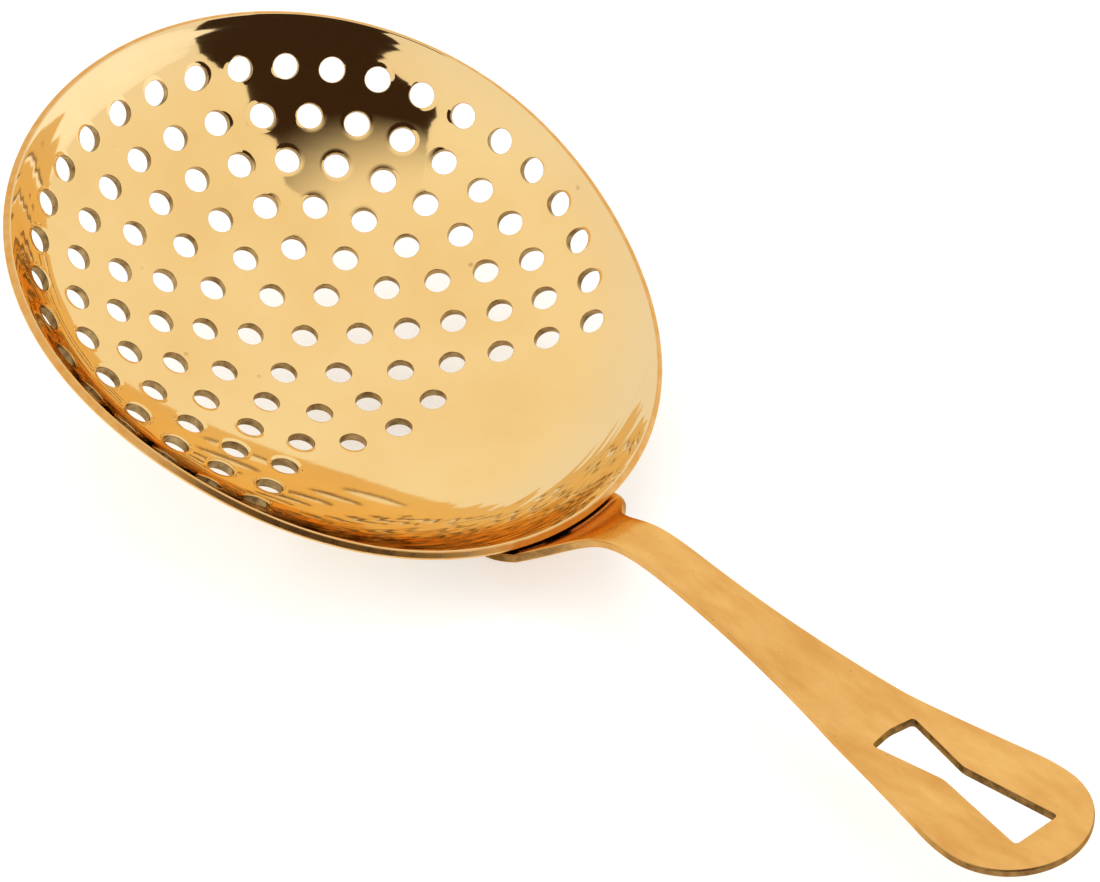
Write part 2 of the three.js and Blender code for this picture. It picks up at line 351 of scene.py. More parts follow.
# Distances along the handle run along the sheet from the rim, and are negative on the root tab.
handle = {
    "tabLength": 21,
    "tabHalfWidth": 7.4,
    "tabWidestAt": 9,              # below the rim
    "wallStretch": 1.25,           # how much farther it is along the wall than seen from above
    "flareStart": 5,               # the flare's two guide points
    "flareHalfWidth": 12,
    "flareEnd": 1,
    "neckStart": 11,
    "neckEnd": 18,
    "neckHalfWidth": 3.0,
    "taperHold": 40,               # the taper's first guide point
    "taperEnd": 66,
    "taperHalfWidth": 8.45,
    "taperSlope": 0.205,
    "taperReach": 12,
    "shoulderReach": 3,
    "paddleAt": 73.2,
    "paddleHalfWidth": 9.5,
    "length": 82.2,
    "neckRise": 57,                # degrees above the rim's plane as it leaves the rim
    "neckReach": 11,
    "shankReach": 9,
    "shankFoot": (66.2, 30.9),     # x and z, where the neck's curve ends
    "paddleFold": (95.5, 39.15),   # x and z
    "foldReach": 2,
    "paddleRise": 21.7,            # degrees
    "paddleRun": 60,               # the side line goes on this far, past the end
    "neckSteps": 200,
    "foldSteps": 40,
    "wrapFade": 15,                # how far beyond the rim the bowl's curve dies away
    "wrapRounds": 8,
    "slopeStep": 0.05,
    "endSteps": 24,
    "curveSteps": 60,
    "outlineSpacing": 0.55,
    "fewestPoints": 12,
    "rootSpacing": 0.45,
    "rootFillEnd": 24,
    "bladeFillStart": 24.2,
    "bladeSpacing": 0.8,
    "fillHalfWidth": 10,
    "acrossSpacing": 0.6,
    "middlePaintedDark": 0.25,            # share of painted dark reflection on the cut edge along the blade, beside 1 at both ends
    "rootPaintedDarkEnd": 9,
    "rootPaintedDarkFade": 6,
    "paddlePaintedDarkFade": 8,
    "edge": {
        "round": 0.3, "roundSteps": 5,
        "rollWidth": 0.8, "rollDrop": 0.05, "rollSteps": (1, 0.7, 0.4, 0.15),
    },
}

slot = {
    "start": 55.6,
    "waist": 64.9,
    "end": 77.3,
    "halfWidth": 3.3,
    "waistHalfWidth": 1.5,
    "arch": 0.5,          # how far the end towards the bowl bows out
    "cornerRound": 0.6,
    "cornerSteps": 7,
    "spacing": 0.3,
    "edge": {
        "round": 0.1, "roundSteps": 4,
        "rollWidth": 0.3, "rollDrop": 0.01, "rollSteps": (1, 0.5),
    },
}

weld = {
    "places": [(-15.5, 0), (-9, 3.9), (-9, -3.9)],  # below the rim, and to the side
    "radius": 1.6,
    "seam": 0.08,           # fine gap round each weld
    "dent": 0.12,           # left by the electrode
    "points": 32,
    "fillPoints": 16,
    "fillRings": 6,
    "fillInset": 0.4,
    "edge": {
        "round": 0.1, "roundSteps": 4,
        "rollWidth": 0.25, "rollDrop": 0.03, "rollSteps": (1, 0.5),
    },
}


def bezier(points, t):
    points = [np.array([p], float) for p in points]
    t = np.asarray(t)[:, None]
    while len(points) > 1:
        points = [(1 - t) * a + t * b for a, b in zip(points, points[1:])]
    return points[0]


def slopeWay(degrees):
    return np.array([math.cos(math.radians(degrees)), math.sin(math.radians(degrees))])


def tabPoint(distance, across):
    ratio = 1 + distance / rimReach(0) / handle["wallStretch"]
    angle = np.zeros_like(across)
    for _ in range(handle["wrapRounds"]):
        angle = np.arcsin(across / (ratio * rimReach(angle)))
    flat = np.stack([ratio * rimReach(angle) * np.cos(angle), across], axis=1)
    return bowlSheet(flat, -sheetMetal["thickness"] - sheetMetal["fitGap"])[0]


def makeSideLine():
    # side view of the handle beyond the rim: points of (x, z), and how far along the sheet each one is
    start = tabPoint(np.zeros(1), np.zeros(1))[0]
    foot, fold = np.array(handle["shankFoot"]), np.array(handle["paddleFold"])
    shankWay = (fold - foot) / np.linalg.norm(fold - foot)
    paddleWay = slopeWay(handle["paddleRise"])
    rimFoot = np.array([start[0], start[2]])
    neck = [rimFoot, rimFoot + slopeWay(handle["neckRise"]) * handle["neckReach"],
            foot - shankWay * handle["shankReach"], foot]
    bend = [fold - shankWay * handle["foldReach"], fold, fold + paddleWay * handle["foldReach"]]
    line = np.vstack([
        bezier(neck, np.linspace(0, 1, handle["neckSteps"])),
        bezier(bend, np.linspace(0, 1, handle["foldSteps"])),
        (fold + paddleWay * handle["paddleRun"])[None],
    ])
    travelled = np.concatenate([[0], np.cumsum(np.linalg.norm(np.diff(line, axis=0), axis=1))])
    return travelled, line


sideTravelled, sideLine = makeSideLine()


def handlePoint(distance, across):
    x = np.interp(distance, sideTravelled, sideLine[:, 0])
    z = np.interp(distance, sideTravelled, sideLine[:, 1])
    beyond = np.stack([x, across, z], axis=1)
    root = tabPoint(np.zeros_like(across), across)
    flatRoot = np.stack([np.full_like(x, sideLine[0, 0]), across, np.full_like(x, sideLine[0, 1])], axis=1)
    wrap = root - flatRoot
    u = np.clip(distance / handle["wrapFade"], 0, 1)
    beyond += wrap * (1 - u * u * (3 - 2 * u))[:, None]
    onTab = tabPoint(np.minimum(distance, 0), across)
    return np.where((distance <= 0)[:, None], onTab, beyond)


def handleSheet(flat, depth):
    distance, across = flat[:, 0], flat[:, 1]
    step = handle["slopeStep"]
    along = handlePoint(distance + step, across) - handlePoint(distance - step, across)
    sideways = handlePoint(distance, across + step) - handlePoint(distance, across - step)
    normal = np.cross(along, sideways)
    normal /= np.linalg.norm(normal, axis=1)[:, None]
    return handlePoint(distance, across) + normal * depth, normal


def evenly(points, spacing):
    # the same closed line with points at an even spacing
    closed = np.vstack([points, points[:1]])
    travelled = np.concatenate([[0], np.cumsum(np.linalg.norm(np.diff(closed, axis=0), axis=1))])
    count = max(handle["fewestPoints"], round(travelled[-1] / spacing))
    at = np.linspace(0, travelled[-1], count, endpoint=False)
    return np.stack([np.interp(at, travelled, closed[:, i]) for i in (0, 1)], axis=1)


def inwardOf(polygon):
    # unit vectors into the metal: to the left of a line that runs anticlockwise round the metal
    way = np.roll(polygon, -1, axis=0) - np.roll(polygon, 1, axis=0)
    way /= np.linalg.norm(way, axis=1)[:, None]
    return np.stack([-way[:, 1], way[:, 0]], axis=1)


def halfOutline():
    h = handle
    quarter = np.linspace(0, math.pi / 2, h["endSteps"])
    tabEnd = np.stack([-h["tabWidestAt"] - (h["tabLength"] - h["tabWidestAt"]) * np.cos(quarter),
                       h["tabHalfWidth"] * np.sin(quarter)], axis=1)
    t = np.linspace(0, 1, h["curveSteps"])[1:]
    flare = bezier([(-h["tabWidestAt"], h["tabHalfWidth"]), (h["flareStart"], h["flareHalfWidth"]),
                    (h["flareEnd"], h["neckHalfWidth"]), (h["neckStart"], h["neckHalfWidth"])], t)
    neck = np.array([(h["neckEnd"], h["neckHalfWidth"])])
    back = h["taperReach"]
    taper = bezier([(h["neckEnd"], h["neckHalfWidth"]),
                    (h["taperHold"], h["neckHalfWidth"]),
                    (h["taperEnd"] - back, h["taperHalfWidth"] - back * h["taperSlope"]),
                    (h["taperEnd"], h["taperHalfWidth"])], t)
    reach = h["shoulderReach"]
    shoulder = bezier([(h["taperEnd"], h["taperHalfWidth"]),
                       (h["taperEnd"] + reach, h["taperHalfWidth"] + reach * h["taperSlope"]),
                       (h["paddleAt"] - reach, h["paddleHalfWidth"]),
                       (h["paddleAt"], h["paddleHalfWidth"])], t)
    end = np.stack([h["paddleAt"] + (h["length"] - h["paddleAt"]) * np.sin(quarter),
                    h["paddleHalfWidth"] * np.cos(quarter)], axis=1)[1:]
    return np.vstack([tabEnd, flare, neck, taper, shoulder, end])


def handleOutline():
    h = handle
    half = halfOutline()
    whole = np.vstack([half[::-1], (half * [1, -1])[1:-1]])
    if turnOf(whole) < 0:
        whole = whole[::-1]
    flat = evenly(whole, h["outlineSpacing"])
    # painted dark reflection on the cut edge: full at the paddle and the root, weaker along the blade
    atPaddle = np.clip((flat[:, 0] - h["taperEnd"]) / h["paddlePaintedDarkFade"], 0, 1)
    atRoot = np.clip((h["rootPaintedDarkEnd"] - flat[:, 0]) / h["rootPaintedDarkFade"], 0, 1)
    paintedDarkShare = h["middlePaintedDark"] + (1 - h["middlePaintedDark"]) * np.maximum(atPaddle, atRoot)
    return {"flat": flat, "inward": inwardOf(flat), "edge": h["edge"], "paintedDarkShare": paintedDarkShare}


def roundedCorners(corners, radius):
    rounded = []
    earlier, later = np.roll(corners, 1, axis=0), np.roll(corners, -1, axis=0)
    steps = np.linspace(0, 1, slot["cornerSteps"])
    for before, corner, after in zip(earlier, corners, later):
        intoCorner = (before - corner) / np.linalg.norm(before - corner)
        outOfCorner = (after - corner) / np.linalg.norm(after - corner)
        rounded.append(bezier([corner + intoCorner * radius, corner, corner + outOfCorner * radius], steps))
    return np.vstack(rounded)


def slotOutline():
    s = slot
    side = [(s["start"], s["halfWidth"]), (s["waist"], s["waistHalfWidth"]), (s["end"], s["halfWidth"])]
    otherSide = [(x, -y) for x, y in reversed(side)]
    arch = [(s["start"] - s["arch"], 0)]
    corners = np.array(side + otherSide + arch, float)
    flat = evenly(roundedCorners(corners, s["cornerRound"]), s["spacing"])
    if turnOf(flat) > 0:
        flat = flat[::-1]
    return {"flat": flat, "inward": inwardOf(flat), "edge": s["edge"]}


def roundOutline(place, radius, edge, clockwise):
    angle = np.linspace(0, 2 * math.pi, weld["points"], endpoint=False) * (-1 if clockwise else 1)
    away = np.stack([np.cos(angle), np.sin(angle)], axis=1)
    inward = away if clockwise else -away
    return {"flat": np.array([place]) + away * radius, "inward": inward, "edge": edge}


def handleFill():
    # closer together at the root, where the sheet curves both ways
    root = np.arange(-handle["tabLength"], handle["rootFillEnd"], handle["rootSpacing"])
    blade = np.arange(handle["bladeFillStart"], handle["length"], handle["bladeSpacing"])
    halfWidth = handle["fillHalfWidth"]
    across = np.arange(-halfWidth, halfWidth + sheetMetal["nudge"], handle["acrossSpacing"])
    grid = np.meshgrid(np.concatenate([root, blade]), across, indexing="ij")
    return np.stack(grid, axis=-1).reshape(-1, 2)


def makeHandle():
    weldHole = weld["radius"] + weld["seam"]
    outlines = [handleOutline(), slotOutline()]
    outlines += [roundOutline(place, weldHole, weld["edge"], True) for place in weld["places"]]
    return pressSheet("slotted_handle", outlines, handleFill(), handleSheet, sheetMetal["thickness"])


def makeWeld(index, place):
    # a plug from the tab's outside to the bowl, slightly dished by the electrode
    outline = roundOutline(place, weld["radius"], weld["edge"], False)
    radii = np.linspace(0, 1, weld["fillRings"])[1:-1] * (weld["radius"] - weld["fillInset"])
    angle = np.linspace(0, 2 * math.pi, weld["fillPoints"], endpoint=False)
    away = np.stack([np.cos(angle), np.sin(angle)], axis=1)
    fill = np.vstack([[place]] + [np.array(place) + radius * away for radius in radii])

    def weldSheet(flat, depth):
        spot, normal = handleSheet(flat, 0)
        fromMiddle = np.linalg.norm(flat - np.array(place), axis=1) / weld["radius"]
        dent = weld["dent"] * np.clip(1 - fromMiddle ** 2, 0, 1)
        depth = np.broadcast_to(depth, len(flat))
        shift = np.where(depth > 0, depth + sheetMetal["fitGap"], depth + dent)
        return spot + normal * shift[:, None], normal

    name = f"spot_weld_{index + 1}_nugget"
    return pressSheet(name, [outline], fill, weldSheet, sheetMetal["thickness"])


bowlPiece = makeBowl()
print("bowl pressed and pierced:", len(bowlPiece.data.vertices), "points")
handlePiece = makeHandle()
print("handle bent and slotted:", len(handlePiece.data.vertices), "points")
weldPieces = [makeWeld(index, place) for index, place in enumerate(weld["places"])]
print("welds set:", len(weldPieces))


def nodeIn(tree, kind, place=(0, 0), **values):
    made = tree.nodes.new(kind)
    made.location = place
    for key, value in values.items():
        setattr(made, key, value)
    return made


def setSockets(node, values):
    for socket, value in values.items():
        node.inputs[socket].default_value = value


def combined(tree, operation, place, first, second):
    made = nodeIn(tree, "ShaderNodeMath", place, operation=operation)
    tree.links.new(first, made.inputs[0])
    tree.links.new(second, made.inputs[1])
    return made.outputs["Value"]


def newGroup(name, inputs, outputs):
    group = bpy.data.node_groups.new(name, "ShaderNodeTree")
    for label, kind, value in inputs:
        socket = group.interface.new_socket(label, in_out="INPUT", socket_type=kind)
        if value is not None:
            socket.default_value = value
    for label, kind in outputs:
        group.interface.new_socket(label, in_out="OUTPUT", socket_type=kind)
    start = nodeIn(group, "NodeGroupInput", (-900, 0))
    end = nodeIn(group, "NodeGroupOutput", (700, 0))
    return group, start, end


def mottledTone():
    # a metal's colour with soft patches, and small specks
    group, start, end = newGroup("mottled tone", [
        ("Color", "NodeSocketColor", (0.8, 0.5, 0.2, 1)),
        ("Deep Color", "NodeSocketColor", (0.6, 0.35, 0.1, 1)),
        ("Speck Color", "NodeSocketColor", (0.2, 0.1, 0.03, 1)),
        ("Scale", "NodeSocketFloat", 60.0),
        ("Amount", "NodeSocketFloat", 0.4),
        ("Specks", "NodeSocketFloat", 0.5),
        ("Vector", "NodeSocketVector", None),
    ], [("Color", "NodeSocketColor"), ("Patches", "NodeSocketFloat")])
    links = group.links
    patches = nodeIn(group, "ShaderNodeTexNoise", (-650, 150))
    patches.inputs["Detail"].default_value = 5
    patches.inputs["Roughness"].default_value = 0.62
    links.new(start.outputs["Vector"], patches.inputs["Vector"])
    links.new(start.outputs["Scale"], patches.inputs["Scale"])
    spread = nodeIn(group, "ShaderNodeMapRange", (-450, 150), clamp=True)
    spread.inputs["From Min"].default_value = 0.35
    spread.inputs["From Max"].default_value = 0.68
    links.new(patches.outputs["Fac"], spread.inputs["Value"])
    share = combined(group, "MULTIPLY", (-250, 150), spread.outputs["Result"], start.outputs["Amount"])
    blend = nodeIn(group, "ShaderNodeMix", (-50, 100), data_type="RGBA")
    links.new(share, blend.inputs["Factor"])
    links.new(start.outputs["Color"], blend.inputs["A"])
    links.new(start.outputs["Deep Color"], blend.inputs["B"])
    often = nodeIn(group, "ShaderNodeMath", (-650, -150), operation="MULTIPLY")
    often.inputs[1].default_value = 9.0  # specks are this much finer than patches
    links.new(start.outputs["Scale"], often.inputs[0])
    dots = nodeIn(group, "ShaderNodeTexVoronoi", (-450, -150))
    links.new(start.outputs["Vector"], dots.inputs["Vector"])
    links.new(often.outputs["Value"], dots.inputs["Scale"])
    small = nodeIn(group, "ShaderNodeMapRange", (-250, -150), clamp=True)
    small.inputs["From Min"].default_value = 0.16
    small.inputs["From Max"].default_value = 0.04
    links.new(dots.outputs["Distance"], small.inputs["Value"])
    rare = nodeIn(group, "ShaderNodeSeparateColor", (-250, -330))
    links.new(dots.outputs["Color"], rare.inputs["Color"])
    few = nodeIn(group, "ShaderNodeMath", (-50, -330), operation="GREATER_THAN")
    few.inputs[1].default_value = 0.93  # only about one in fourteen shows
    links.new(rare.outputs["Red"], few.inputs[0])
    chosen = combined(group, "MULTIPLY", (100, -200), small.outputs["Result"], few.outputs["Value"])
    strength = combined(group, "MULTIPLY", (250, -200), chosen, start.outputs["Specks"])
    specked = nodeIn(group, "ShaderNodeMix", (450, 100), data_type="RGBA")
    links.new(strength, specked.inputs["Factor"])
    links.new(blend.outputs["Result"], specked.inputs["A"])
    links.new(start.outputs["Speck Color"], specked.inputs["B"])
    links.new(specked.outputs["Result"], end.inputs["Color"])
    links.new(spread.outputs["Result"], end.inputs["Patches"])
    return group


def polishMarks():
    # fine lines left by the wheel, soft waves in the sheet, and ripples that grow up the wall
    group, start, end = newGroup("polish marks", [
        ("Scale", "NodeSocketFloat", 300.0),
        ("Line Height", "NodeSocketFloat", 1.0),
        ("Wave Scale", "NodeSocketFloat", 40.0),
        ("Wave Height", "NodeSocketFloat", 1.0),
        ("Round Height", "NodeSocketFloat", 1.0),
        ("Rise", "NodeSocketFloat", 1.0),
        ("Lines Vector", "NodeSocketVector", None),
        ("Wave Vector", "NodeSocketVector", None),
        ("Round Vector", "NodeSocketVector", None),
    ], [("Height", "NodeSocketFloat")])
    links = group.links
    lines = nodeIn(group, "ShaderNodeTexNoise", (-600, 150))
    lines.inputs["Detail"].default_value = 3
    links.new(start.outputs["Lines Vector"], lines.inputs["Vector"])
    links.new(start.outputs["Scale"], lines.inputs["Scale"])
    lineHeight = combined(group, "MULTIPLY", (-350, 150),
                          lines.outputs["Fac"], start.outputs["Line Height"])
    waves = nodeIn(group, "ShaderNodeTexNoise", (-600, -150))
    waves.inputs["Detail"].default_value = 1.5
    links.new(start.outputs["Wave Vector"], waves.inputs["Vector"])
    links.new(start.outputs["Wave Scale"], waves.inputs["Scale"])
    waveHeight = combined(group, "MULTIPLY", (-350, -150),
                          waves.outputs["Fac"], start.outputs["Wave Height"])
    rounds = nodeIn(group, "ShaderNodeTexNoise", (-600, -400))
    rounds.inputs["Scale"].default_value = 1
    rounds.inputs["Detail"].default_value = 1.2
    links.new(start.outputs["Round Vector"], rounds.inputs["Vector"])
    roundShare = combined(group, "MULTIPLY", (-350, -400),
                          rounds.outputs["Fac"], start.outputs["Round Height"])
    roundHeight = combined(group, "MULTIPLY", (-150, -400), roundShare, start.outputs["Rise"])
    total = combined(group, "ADD", (100, 0), lineHeight, waveHeight)
    links.new(combined(group, "ADD", (300, 0), total, roundHeight), end.inputs["Height"])
    return group


def spinning():
    # a vector that changes slowly round the bowl and fast outwards, and how far up the wall a place is
    group, start, end = newGroup("spinning", [
        ("Turn Scale", "NodeSocketFloat", 3.0),
        ("Radius Scale", "NodeSocketFloat", 1.0),
        ("Rise From", "NodeSocketFloat", 24.0),
        ("Rise To", "NodeSocketFloat", 40.0),
        ("Vector", "NodeSocketVector", None),
    ], [("Vector", "NodeSocketVector"), ("Rise", "NodeSocketFloat")])
    links = group.links
    level = nodeIn(group, "ShaderNodeVectorMath", (-700, 0), operation="MULTIPLY")
    level.inputs[1].default_value = (1, 1, 0)  # leaves the height out
    links.new(start.outputs["Vector"], level.inputs[0])
    way = nodeIn(group, "ShaderNodeVectorMath", (-500, 100), operation="NORMALIZE")
    links.new(level.outputs["Vector"], way.inputs[0])
    turn = nodeIn(group, "ShaderNodeVectorMath", (-300, 100), operation="SCALE")
    links.new(way.outputs["Vector"], turn.inputs[0])
    links.new(start.outputs["Turn Scale"], turn.inputs["Scale"])
    radius = nodeIn(group, "ShaderNodeVectorMath", (-500, -100), operation="LENGTH")
    links.new(level.outputs["Vector"], radius.inputs[0])
    fast = combined(group, "MULTIPLY", (-300, -100), radius.outputs["Value"], start.outputs["Radius Scale"])
    upright = nodeIn(group, "ShaderNodeCombineXYZ", (-100, -100))
    links.new(fast, upright.inputs["Z"])
    both = nodeIn(group, "ShaderNodeVectorMath", (100, 50), operation="ADD")
    links.new(turn.outputs["Vector"], both.inputs[0])
    links.new(upright.outputs["Vector"], both.inputs[1])
    rise = nodeIn(group, "ShaderNodeMapRange", (-100, -300), clamp=True)
    links.new(radius.outputs["Value"], rise.inputs["Value"])
    links.new(start.outputs["Rise From"], rise.inputs["From Min"])
    links.new(start.outputs["Rise To"], rise.inputs["From Max"])
    rise.inputs["To Min"].default_value = 0.03
    links.new(both.outputs["Vector"], end.inputs["Vector"])
    links.new(rise.outputs["Result"], end.inputs["Rise"])
    return group


def cutEdgeToneAndShade():
    # the sheared edge: a deeper, rougher tone than the faces, broken up along its length; the inner colour
    # is painted shade on the walls of holes and the slot, and on the handle the edge colour is a painted
    # dark reflection
    group, start, end = newGroup("cut edge tone and painted shade", [
        ("Color", "NodeSocketColor", (0.8, 0.5, 0.2, 1)),
        ("Edge Color", "NodeSocketColor", (0.4, 0.2, 0.05, 1)),
        ("Inner Shade Color", "NodeSocketColor", (0.2, 0.1, 0.04, 1)),
        ("Roughness", "NodeSocketFloat", 0.1),
        ("Edge Roughness", "NodeSocketFloat", 0.35),
        ("Cut", "NodeSocketFloat", 0.0),
        ("Inner", "NodeSocketFloat", 0.0),
        ("Amount", "NodeSocketFloat", 0.7),
        ("Vector", "NodeSocketVector", None),
    ], [("Color", "NodeSocketColor"), ("Roughness", "NodeSocketFloat")])
    links = group.links
    broken = nodeIn(group, "ShaderNodeTexNoise", (-650, -100))
    broken.inputs["Scale"].default_value = 700
    broken.inputs["Detail"].default_value = 3
    links.new(start.outputs["Vector"], broken.inputs["Vector"])
    level = nodeIn(group, "ShaderNodeMapRange", (-450, -100), clamp=True)
    level.inputs["From Min"].default_value = 0.3
    level.inputs["From Max"].default_value = 0.7
    level.inputs["To Min"].default_value = 0.65
    links.new(broken.outputs["Fac"], level.inputs["Value"])
    amount = combined(group, "MULTIPLY", (-250, -100), level.outputs["Result"], start.outputs["Amount"])
    mask = combined(group, "MULTIPLY", (-50, -100), amount, start.outputs["Cut"])
    kind = nodeIn(group, "ShaderNodeMix", (0, 150), data_type="RGBA")
    links.new(start.outputs["Inner"], kind.inputs["Factor"])
    links.new(start.outputs["Edge Color"], kind.inputs["A"])
    links.new(start.outputs["Inner Shade Color"], kind.inputs["B"])
    tone = nodeIn(group, "ShaderNodeMix", (250, 100), data_type="RGBA")
    links.new(mask, tone.inputs["Factor"])
    links.new(start.outputs["Color"], tone.inputs["A"])
    links.new(kind.outputs["Result"], tone.inputs["B"])
    rough = nodeIn(group, "ShaderNodeMix", (250, -150), data_type="FLOAT")
    links.new(mask, rough.inputs["Factor"])
    links.new(start.outputs["Roughness"], rough.inputs["A"])
    links.new(start.outputs["Edge Roughness"], rough.inputs["B"])
    links.new(tone.outputs["Result"], end.inputs["Color"])
    links.new(rough.outputs["Result"], end.inputs["Roughness"])
    return group


mottledToneGroup = mottledTone()
polishMarksGroup = polishMarks()
cutEdgeToneAndShadeGroup = cutEdgeToneAndShade()
spinningGroup = spinning()


def goldMaterial(name, look):
    material = bpy.data.materials.new(name)
    material.use_nodes = True
    tree = material.node_tree
    links = tree.links
    shader = tree.nodes["Principled BSDF"]
    shader.inputs["Metallic"].default_value = 1.0
    shader.inputs["Specular Tint"].default_value = (*look["grazingTint"], 1)
    coordinates = nodeIn(tree, "ShaderNodeTexCoord", (-1500, 0))
    cut = nodeIn(tree, "ShaderNodeAttribute", (-900, -350), attribute_name="cut")
    inner = nodeIn(tree, "ShaderNodeAttribute", (-900, -500), attribute_name="inner")

    tone = nodeIn(tree, "ShaderNodeGroup", (-900, 250), node_tree=mottledToneGroup)
    setSockets(tone, {
        "Color": (*look["color"], 1),
        "Deep Color": (*look["deepColor"], 1),
        "Speck Color": (*look["speckColor"], 1),
        "Scale": look["patchScale"],
        "Amount": look["patchAmount"],
        "Specks": look["specks"],
    })
    blank = nodeIn(tree, "ShaderNodeAttribute", (-1900, -800), attribute_name="blank")
    rounds = nodeIn(tree, "ShaderNodeGroup", (-1500, -800), node_tree=spinningGroup)
    setSockets(rounds, {
        "Turn Scale": look["turnScale"],
        "Radius Scale": look["radiusScale"],
        "Rise From": look["riseFrom"],
        "Rise To": look["riseTo"],
    })
    links.new(blank.outputs["Vector"], rounds.inputs["Vector"])

    drawn = nodeIn(tree, "ShaderNodeMapping", (-1200, 250))
    drawn.inputs["Scale"].default_value = look["patchStretch"]
    links.new(coordinates.outputs["Object"], drawn.inputs["Vector"])
    links.new(drawn.outputs["Vector"], tone.inputs["Vector"])

    rough = nodeIn(tree, "ShaderNodeMapRange", (-650, 0), clamp=True)
    rough.inputs["To Min"].default_value = look["roughness"][0]
    rough.inputs["To Max"].default_value = look["roughness"][1]
    links.new(tone.outputs["Patches"], rough.inputs["Value"])
    polished = nodeIn(tree, "ShaderNodeAttribute", (-1200, 0), attribute_name="polished")
    smoothed = nodeIn(tree, "ShaderNodeMix", (-500, -50), data_type="FLOAT")
    smoothed.inputs["B"].default_value = look["polishedRoughness"]
    links.new(polished.outputs["Fac"], smoothed.inputs["Factor"])
    links.new(rough.outputs["Result"], smoothed.inputs["A"])

    edge = nodeIn(tree, "ShaderNodeGroup", (-400, 150), node_tree=cutEdgeToneAndShadeGroup)
    setSockets(edge, {
        "Edge Color": (*look["edgeColor"], 1),
        "Inner Shade Color": (*look["innerShadeColor"], 1),
        "Edge Roughness": look["edgeRoughness"],
        "Amount": look["edgeAmount"],
    })
    # a paler colour up the wall is painted reflection: it softens how deep the reflections the bowl bounces
    # to itself come out
    wall = nodeIn(tree, "ShaderNodeMath", (-1200, -300), operation="MULTIPLY")
    wall.inputs[1].default_value = look["paintedBounceAmount"]
    links.new(rounds.outputs["Rise"], wall.inputs[0])
    walled = nodeIn(tree, "ShaderNodeMix", (-650, 250), data_type="RGBA")
    walled.inputs["B"].default_value = (*look["paintedBounceColor"], 1)
    links.new(wall.outputs["Value"], walled.inputs["Factor"])
    links.new(tone.outputs["Color"], walled.inputs["A"])
    links.new(walled.outputs["Result"], edge.inputs["Color"])
    links.new(smoothed.outputs["Result"], edge.inputs["Roughness"])
    links.new(cut.outputs["Fac"], edge.inputs["Cut"])
    links.new(inner.outputs["Fac"], edge.inputs["Inner"])
    links.new(coordinates.outputs["Object"], edge.inputs["Vector"])
    links.new(edge.outputs["Color"], shader.inputs["Base Color"])
    links.new(edge.outputs["Roughness"], shader.inputs["Roughness"])

    stretch = nodeIn(tree, "ShaderNodeMapping", (-1200, -600))
    stretch.inputs["Rotation"].default_value = (0, 0, math.radians(look["lineTurn"]))
    stretch.inputs["Scale"].default_value = look["lineStretch"]
    links.new(coordinates.outputs["Object"], stretch.inputs["Vector"])

    marks = nodeIn(tree, "ShaderNodeGroup", (-650, -550), node_tree=polishMarksGroup)
    setSockets(marks, {
        "Scale": look["lineScale"],
        "Line Height": look["lineHeight"],
        "Wave Scale": look["waveScale"],
        "Wave Height": look["waveHeight"],
        "Round Height": look["roundHeight"],
    })
    links.new(stretch.outputs["Vector"], marks.inputs["Lines Vector"])
    links.new(coordinates.outputs["Object"], marks.inputs["Wave Vector"])
    links.new(rounds.outputs["Vector"], marks.inputs["Round Vector"])
    links.new(rounds.outputs["Rise"], marks.inputs["Rise"])
    bump = nodeIn(tree, "ShaderNodeBump", (-250, -400))
    bump.inputs["Distance"].default_value = millimetre
    links.new(marks.outputs["Height"], bump.inputs["Height"])
    links.new(bump.outputs["Normal"], shader.inputs["Normal"])
    return material


polishedGold = {
    "color": (0.935, 0.69, 0.335),
    "deepColor": (0.87, 0.57, 0.22),
    "speckColor": (0.35, 0.2, 0.08),
    "grazingTint": (1.0, 0.87, 0.66),
    "patchScale": 38, "patchAmount": 0.7, "patchStretch": (1, 1, 1), "specks": 0.6,
    "roughness": (0.035, 0.075), "polishedRoughness": 0.05,
    # the inner colour darkens the walls of the holes: painted shade
    "edgeColor": (0.72, 0.36, 0.09), "innerShadeColor": (0.15, 0.082, 0.03),
    "edgeRoughness": 0.34, "edgeAmount": 1,
    "lineTurn": 30, "lineStretch": (0.05, 1, 1), "lineScale": 2500, "lineHeight": 0.0006,
    "waveScale": 90, "waveHeight": 0.018,
    "turnScale": 1.5, "radiusScale": 0.8, "riseFrom": 34, "riseTo": 42, "roundHeight": 0.08,
    # paler up the wall: painted reflection
    "paintedBounceColor": (0.84, 0.66, 0.4), "paintedBounceAmount": 0.85,
}

satinGold = {
    "color": (0.88, 0.53, 0.185),
    "deepColor": (0.64, 0.29, 0.06),
    "speckColor": (0.25, 0.13, 0.04),
    "grazingTint": (0.95, 0.68, 0.4),
    "patchScale": 260, "patchAmount": 0.55, "patchStretch": (0.35, 1, 1), "specks": 0.8,
    "roughness": (0.24, 0.4), "polishedRoughness": 0.15,
    # the dark edge colour is a painted dark reflection, and the inner colour is painted shade on the slot's
    # walls
    "edgeColor": (0.17, 0.085, 0.03), "innerShadeColor": (0.05, 0.026, 0.012),
    "edgeRoughness": 0.4, "edgeAmount": 1,
    "lineTurn": 0, "lineStretch": (0.25, 1, 1), "lineScale": 3500, "lineHeight": 0.012,
    "waveScale": 120, "waveHeight": 0.05,
    "turnScale": 7, "radiusScale": 0.7, "riseFrom": 26, "riseTo": 41, "roundHeight": 0.004,
    "paintedBounceColor": (0.7, 0.4, 0.12), "paintedBounceAmount": 0,
}

